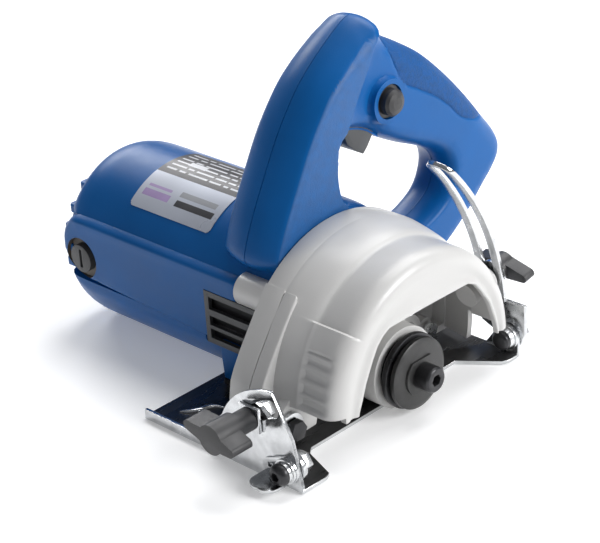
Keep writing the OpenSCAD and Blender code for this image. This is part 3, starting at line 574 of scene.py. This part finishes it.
def side_pad(side):
    """Raised band along the motor with the brush cap's recess and the grille's window."""
    outline = [(-13.2, 24.2), (-13.2, 53.3), (-33.4, 53.3), (-33.4, 66), (-120, 66), (-142, 66)]
    arc = [(-148 - 18 * math.sin(a), 47.5 + 18.5 * math.cos(a))
           for a in np.linspace(0.2, math.pi * 0.98, 18)]
    outline += arc + [(-100, 26.4), (-50, 24.4)]
    loop = []
    for i, p in enumerate(outline):
        q = outline[(i + 1) % len(outline)]
        n = max(1, round(math.dist(p, q) / 2.2))
        loop += [np.array(p) + (np.array(q) - np.array(p)) * k / n for k in range(n)]
    loop = np.array(loop)
    centre = np.array(BRUSH)
    angles = np.linspace(0, 2 * np.pi, 56, endpoint=False)
    window = [np.array([y, z]) for y in np.arange(-58.3, -13.4, 1.5) for z in (24.9, 25.1, 53.0, 52.8)]
    window += [np.array([y, z]) for z in np.arange(25, 53.2, 1.5) for y in (-58.3, -58.1)]
    rows = [centre + r * np.array([np.cos(a), np.sin(a)])
            for r in (11.0, 11.15, 12.2, 13.6) for a in angles] + window
    points = cloud([loop], [0.15, 0.5, 1, 1.7, 2.5, 3.4, 4.4], 4.0)
    r = np.hypot(*(points - centre).T)
    points = np.concatenate([points[(r > 14.6) | (r < 10)], np.array(rows)])
    keep = inside(points, loop) & (to_line(points, loop, True)[0] > 0.1)
    points = points[keep]

    def in_window(p):
        return (p[:, 0] > VENT_REAR) & (p[:, 1] > VENT_LOW) & (p[:, 1] < VENT_TOP)

    def height(p):
        d, _, _ = to_line(p, loop, True)
        front = (p[:, 0] > -34.5) & (d < 3)
        w = np.where(front, 0.5, 4.4)
        top = 10 * np.sqrt(1 - (1 - np.clip(d / w, 0, 1)) ** 2) ** 0.9
        ridge = 0.55 * np.exp(-((p[:, 1] - 62.2) / 1.6) ** 2) * np.clip(d / 2, 0, 1)
        h = 34.1 + top + ridge
        h = np.where(np.hypot(*(p - centre).T) < CAP_RECESS_R, 41.0, h)
        h = np.where(in_window(p), 40.3, h)
        return h

    mesh = solid_plate("pad", [loop], points, height, lambda p: np.full(len(p), 33.4),
                       lambda p, h: Vector((side * h, p[0], p[1])) * MM)
    mesh.materials.append(MAT["blue_plastic"])
    # Painted shade (near black) for the floor of the grille's window
    mesh.materials.append(MAT["vent_painted_shade"])
    mesh.materials.append(MAT["cap_ring"])
    for poly in mesh.polygons:
        c = poly.center / MM
        at = np.array([[c.y, c.z]])
        # The window floor behind the grille gets the painted shade
        if in_window(at)[0] and abs(c.x) < 43.5:
            poly.material_index = 1
        elif math.hypot(c.y - centre[0], c.z - centre[1]) < CAP_RECESS_R + 0.05 and abs(c.x) > 35:
            poly.material_index = 2
    name = "front" if side > 0 else "rear"
    piece(f"motor_pad_{name}", mesh, "saw", "blue_plastic", sharp=45)


def foot_leg():
    """Leg under the motor housing that stands over the rubber foot."""
    outline = [(33.4, 5.4), (41.8, 5.4), (43.3, 27), (36, 27)]
    mesh = swept("leg", [[(x, y, z) for x, z in outline] for y in (-51.8, -38.2)])
    mesh = baked(mesh, ("BEVEL", dict(width=1.6 * MM, segments=4, limit_method="ANGLE",
                                      angle_limit=math.radians(30))))
    piece("foot_leg", mesh, "saw", "blue_plastic")


def rating_plate():
    """Foil label: a light half and a dark half, with generic bars in place of print."""
    y0, y1, a0, a1 = -121.5, -64.5, 46.4, 109.0
    bars = [(-94.5, -68, 54.6, 59.2, 1), (-94.8, -69.3, 61.6, 66.0, 3),
            (-118, -99.5, 55.5, 60.5, 2), (-117.4, -101, 62.4, 64.2, 2)]
    for k in range(6):
        a = 79.5 + k * 4.6
        y = -118.5
        for j, width in enumerate((9, 5, 13, 7, 4, 10)):
            w = width * (0.8 + 0.35 * ((k * 3 + j * 5) % 4) / 3)
            bars.append((y, min(y + w, -67), a, a + 1.5, 4))
            y += w + 1.8
            if y > -68:
                break
    bars.append((-110, -98, 88.2, 92.6, 5))
    ny, na = 114, 126
    ys = np.linspace(y0, y1, ny + 1)
    angles = np.linspace(a0, a1, na + 1)
    corner = 2.6
    bm = bmesh.new()
    grid = []
    for lift in (0.05, 0.34):
        grid.append([[bm.verts.new(Vector(((MOTOR_R + lift) * math.cos(math.radians(a)), y,
                                           MOTOR_Z + (MOTOR_R + lift) * math.sin(math.radians(a)))) * MM)
                      for a in angles] for y in ys])
    keep = {}
    for i in range(ny):
        for j in range(na):
            y, a = (ys[i] + ys[i + 1]) / 2, (angles[j] + angles[j + 1]) / 2
            dy = min(y - y0, y1 - y)
            da = min(a - a0, a1 - a) * math.pi / 180 * MOTOR_R
            if dy < corner and da < corner and math.hypot(corner - dy, corner - da) > corner:
                continue
            index = 1 if a > 75 else 0
            for b0, b1, c0, c1, kind in bars:
                if b0 < y < b1 and c0 < a < c1:
                    index = kind
            keep[i, j] = index
    for (i, j), index in keep.items():
        for lift, flip in ((1, False), (0, True)):
            g = grid[lift]
            quad = [g[i][j], g[i + 1][j], g[i + 1][j + 1], g[i][j + 1]]
            face = bm.faces.new(list(reversed(quad)) if flip else quad)
            face.material_index = index if lift else 0
        for di, dj, c in ((-1, 0, ((0, 0), (0, 1))), (1, 0, ((1, 0), (1, 1))), (0, -1, ((0, 0), (1, 0))),
                          (0, 1, ((0, 1), (1, 1)))):
            if (i + di, j + dj) not in keep:
                (p, q), (s, t) = c
                bm.faces.new([grid[1][i + p][j + q], grid[1][i + s][j + t], grid[0][i + s][j + t],
                              grid[0][i + p][j + q]])
    bmesh.ops.delete(bm, geom=[v for v in bm.verts if not v.link_faces], context="VERTS")
    bmesh.ops.recalc_face_normals(bm, faces=bm.faces)
    mesh = bpy.data.meshes.new("rating_plate")
    bm.to_mesh(mesh)
    bm.free()
    for key in ("label", "label_dark", "label_accent", "label_grey", "label_print", "label_print"):
        mesh.materials.append(MAT[key])
    piece("rating_plate", mesh, "saw", "label", replaces=("rating_label",), sharp=60)


# ---------------------------------------------------------------- blade case

SPINDLE_Z = 20.8
ARCH = [(46.8, 6), (46.8, 22.7), (44.1, 28.8), (41.2, 36.2), (36.9, 44.4), (32.8, 51.2), (29, 54.8),
        (24.4, 57.1), (0, 57.3), (-30, 57.1), (-34.8, 55), (-38.3, 51.1), (-44.9, 41.6), (-48.9, 31.2),
        (-50.5, 25.6), (-51, 20), (-51, 6)]


def arch_radius(angle):
    """Distance from the spindle line to the edge of the case's opening."""
    line = [np.array([x, z - SPINDLE_Z]) for x, z in ARCH]
    d = np.array([math.cos(angle), math.sin(angle)])
    best = 51.0
    for p, q in zip(line, line[1:]):
        e = q - p
        det = d[0] * -e[1] + d[1] * e[0]
        if abs(det) < 1e-9:
            continue
        t = (p[0] * -e[1] + p[1] * e[0]) / det
        s = (d[0] * p[1] - d[1] * p[0]) / det
        if t > 0 and -1e-6 <= s <= 1 + 1e-6:
            best = t
            break
    return best


def bump_between(x, low, high, soft):
    """Rises from 0 to 1 between low and high with soft ends."""
    rise = min(max((x - low) / soft, 0), 1)
    fall = min(max((high - x) / soft, 0), 1)
    t = min(rise, fall)
    return t * t * (3 - 2 * t)


def case_profile(deg):
    """Section of the case at an angle about the spindle: (radius, y), outside first."""
    a = math.radians(deg)
    edge = arch_radius(a)
    # Below the ledge the band is a little larger; ribs lie in a shallow pocket on the front
    ledge = 1.7 * bump_between(deg, -40, 41.5, 0.8)
    pocket = bump_between(deg, 5, 30.5, 1.6)
    rib = sum(math.exp(-((deg - c) / 1.25) ** 2) for c in (10.5, 16.5, 22.5, 28)) * 1.1
    dip = (-1.5 + min(rib, 1.2)) * pocket
    rows = [(67.4, 0.0, 0), (67.4, 0.8, 0), (67.1, 3, 0), (66.1, 9, 0), (64.9, 15, 0), (63.8, 18.6, 0.2),
            (63.1, 19.8, 0.6), (62.5, 20.6, 1), (62.2, 21.4, 1), (62.1, 23, 1), (62.05, 26, 1), (62, 30, 1),
            (62, 34, 1), (61.9, 36.6, 1), (61.6, 38.4, 0.9), (60.9, 40.2, 0.8), (59.8, 41.8, 0.6),
            (58.4, 43, 0.4), (56.9, 43.7, 0.2), (55.4, 44, 0)]
    out = []
    for r, y, k in rows:
        dent = dip * bump_between(y, 21.5, 37.2, 1.4)
        out.append((r + ledge * k + dent, y))
    band = max(55.2 - edge, 2.0)
    # Valley and rounded bead around the opening
    bead = [(0.82, 43.8), (0.62, 43.0), (0.46, 42.9), (0.34, 43.3), (0.22, 43.9), (0.1, 44), (0.02, 43.6)]
    for f, y in bead:
        out.append((edge + band * f, y))
    out += [(edge, 43.0), (edge, 41.2), (edge + 0.3, 41)]
    inner = 59.2 + ledge
    out += [(max(edge + 1, 54.5), 41), (inner - 1.6, 39.6), (inner, 37.8), (inner, 20.6), (60.6, 19.4),
            (64, 2.4), (64, 0)]
    return out


def case_shell():
    """Blade case with its pivot lug, bolt ear and the boss of the clamp stud."""
    # Closer sections at the ledge and over the ribs
    ledge, ribs = [40.7, 41.1, 41.5, 41.9], np.arange(3, 33, 0.6)
    degs = sorted({*np.arange(-22, 204, 2.0), *ledge, *ribs})
    rows = []
    for deg in degs:
        a = math.radians(deg)
        rows.append([(r * math.cos(a), y, SPINDLE_Z + r * math.sin(a)) for r, y in case_profile(deg)])
    mesh = swept("case", rows)
    cutters = []
    for low, high in (((-110, -5, -110), (110, 60, 6.5)), ((-110, 17, -110), (57, 60, 22)),
                      ((56, 17, -110), (110, 60, 25)), ((-20, -5, 0), (20, 2.6, 62))):
        x0, y0, z0 = low
        x1, y1, z1 = high
        box = swept("cut", [[(x0, y0, z), (x1, y0, z), (x1, y1, z), (x0, y1, z)] for z in (z0, z1)])
        obj = bpy.data.objects.new("cut", box)
        bpy.context.scene.collection.objects.link(obj)
        cutters.append(obj)
    mods = [("BOOLEAN", dict(object=o, operation="DIFFERENCE", solver="EXACT")) for o in cutters]
    mesh = baked(mesh, *mods)
    for o in cutters:
        bpy.data.objects.remove(o)
    piece("case_shell", mesh, "saw", "grey_paint", replaces=("blade_case",), sharp=33)
    # Lug for the depth pivot and boss for the clamp stud
    lug = [(46, 71.5), (54.4, 60.8), (60.1, 52.9), (65.7, 45.1), (70.4, 37.7), (73, 32.4), (74.5, 24),
           (75, 15.5), (72.4, 9.1), (66, 6.6), (52, 6.6), (44, 40)]
    mesh = swept("lug", [[(x, y, z) for x, z in lug] for y in (0.02, 8)])
    mesh = baked(mesh, ("BEVEL", dict(width=0.9 * MM, segments=3, limit_method="ANGLE",
                                      angle_limit=math.radians(12))))
    piece("case_lug", mesh, "saw", "grey_paint", sharp=40)
    ear = [(66 + 8.5 * math.cos(a), 15.5 + 8.5 * math.sin(a)) for a in np.linspace(-1.9, 1.0, 16)]
    ear += [(56, 36), (48, 34), (44, 24), (48, 8)]
    mesh = swept("ear", [[(x, y, z) for x, z in ear] for y in (6, 16.95)])
    mesh = baked(mesh, ("BEVEL", dict(width=0.7 * MM, segments=3, limit_method="ANGLE",
                                      angle_limit=math.radians(35))))
    piece("case_ear", mesh, "saw", "grey_paint", sharp=40)
    a = math.radians(10.5)
    out = Vector((-math.cos(a), 0, math.sin(a)))
    side = Vector((math.sin(a), 0, math.cos(a)))
    start = Vector((66, 25.2, 15.5)) + out * 118
    rows = []
    for s, r in ((0, 4), (0.02, 6.5), (16.4, 6.5), (17.2, 5.7), (17.25, 3.1)):
        rows.append([tuple(start + out * s + side * r * math.cos(t) + Vector((0, 1, 0)) * r * math.sin(t))
                     for t in np.linspace(0, 2 * math.pi, 40, endpoint=False)])
    piece("stud_boss", swept("boss", rows), "saw", "grey_paint", sharp=40)


# ---------------------------------------------------------------- base

def base_look():
    """Steel base with a painted dark reflection on its upper faces, and a pressed bead."""
    mesh = softened("base_plate", 0.35 * MM)
    mesh.materials.clear()
    mesh.materials.append(MAT["base_steel"])
    mesh.materials.append(MAT["base_painted_reflection"])
    # Upward faces of the floor get the dark copy of the steel: a painted reflection of dark surroundings
    for poly in mesh.polygons:
        if poly.normal.z > 0.95 and poly.center.z < 2.2 * MM:
            poly.material_index = 1
    piece("base_look", mesh, "base", "base_steel", replaces=("base_plate",))
    # Pressed bead on the floor of the base, by the bevel clamp
    path = flowing([(73, -50), (70, -46.5), (66, -43.6), (62, -42.4), (58.8, -40), (57, -36)], 1.0,
                   closed=False)
    d = np.gradient(path, axis=0)
    n = np.stack([-d[:, 1], d[:, 0]], 1) / np.linalg.norm(d, axis=1)[:, None]
    rows = []
    for i, p in enumerate(path):
        w = 1.5 * math.sin(math.pi * min(max(i / (len(path) - 1), 0.04), 0.96)) ** 0.5
        turn = np.linspace(0, 2 * math.pi, 16, endpoint=False)
        rows.append([(p[0] + n[i][0] * w * math.cos(t), p[1] + n[i][1] * w * math.cos(t),
                      1.72 + 0.9 * w * max(math.sin(t), -0.1)) for t in turn])
    piece("base_bead", swept("bead", rows), "base", "base_steel")


# ---------------------------------------------------------------- stage

YAW, PITCH, ROLL = math.radians(45.83), math.radians(26.65), math.radians(-3.9)


def make_camera():
    back = Vector((math.cos(YAW) * math.cos(PITCH), math.sin(YAW) * math.cos(PITCH), math.sin(PITCH)))
    level = Vector((0, 0, 1)).cross(back).normalized()
    up = back.cross(level)
    right = math.cos(ROLL) * level + math.sin(ROLL) * up
    top = back.cross(right)
    data = bpy.data.cameras.new("camera")
    data.sensor_width = 36
    data.lens = 118.5
    cam = bpy.data.objects.new("camera", data)
    bpy.context.scene.collection.objects.link(cam)
    cam.matrix_world = Matrix((right, top, back)).transposed().to_4x4()
    cam.location = (0.595364, 0.576111, 0.480)
    bpy.context.scene.camera = cam


def area_light(name, place, target, size, watts, tint=(1, 1, 1)):
    data = bpy.data.lights.new(name, "AREA")
    data.shape = "RECTANGLE"
    data.size, data.size_y = size
    data.energy = watts
    data.color = tint
    obj = bpy.data.objects.new(name, data)
    obj.location = place
    obj.rotation_euler = (Vector(target) - Vector(place)).to_track_quat("-Z", "Y").to_euler()
    bpy.context.scene.collection.objects.link(obj)
    return obj


def make_stage():
    scene = bpy.context.scene
    scene.view_settings.view_transform = "Standard"
    world = bpy.data.worlds.new("studio")
    world.use_nodes = True
    world.node_tree.nodes["Background"].inputs["Color"].default_value = (0.9, 0.93, 1, 1)
    world.node_tree.nodes["Background"].inputs["Strength"].default_value = 0.22
    scene.world = world
    bm = bmesh.new()
    bmesh.ops.create_grid(bm, x_segments=1, y_segments=1, size=4)
    mesh = bpy.data.meshes.new("floor")
    bm.to_mesh(mesh)
    bm.free()
    floor = bpy.data.objects.new("floor", mesh)
    floor.location.z = -0.0005
    scene.collection.objects.link(floor)
    mesh.materials.append(finish_material("floor", (0.93, 0.93, 0.93), 0.8, spread=0.01, bump=0.0))
    make_glow(mesh.materials[0], 0.22)
    area_light("top", (-0.75, -0.2, 1.35), (0, 0, 0), (1.2, 1.2), 23)
    area_light("key", (-0.45, 1.15, 0.7), (0, 0, 0.08), (0.7, 0.6), 17)
    area_light("rim", (-0.5, -1.2, 0.7), (0, -0.05, 0.08), (0.7, 0.3), 7)


make_camera()
make_stage()
dress_cad_nodes()
handle_half(1)
handle_half(-1)
handle_screws()
motor_barrel()
side_pad(1)
side_pad(-1)
foot_leg()
rating_plate()
case_shell()
soften_nodes(["gear_housing", "bearing_box"], 0.5 * MM)
soften_nodes(["front_wing_knob", "rear_wing_knob"], 1.1 * MM, 3)
soften_nodes(["vent_grille", "trigger", "front_bracket", "sight_guide", "depth_guide"], 0.35 * MM)
base_look()
soften_nodes(["inner_flange", "outer_flange", "clamp_bolt", "brush_caps", "depth_pivot_bolt", "pivot_bolts",
              "pivot_washers", "clamp_washer", "clamp_nut", "pivot_nuts"], 0.25 * MM)
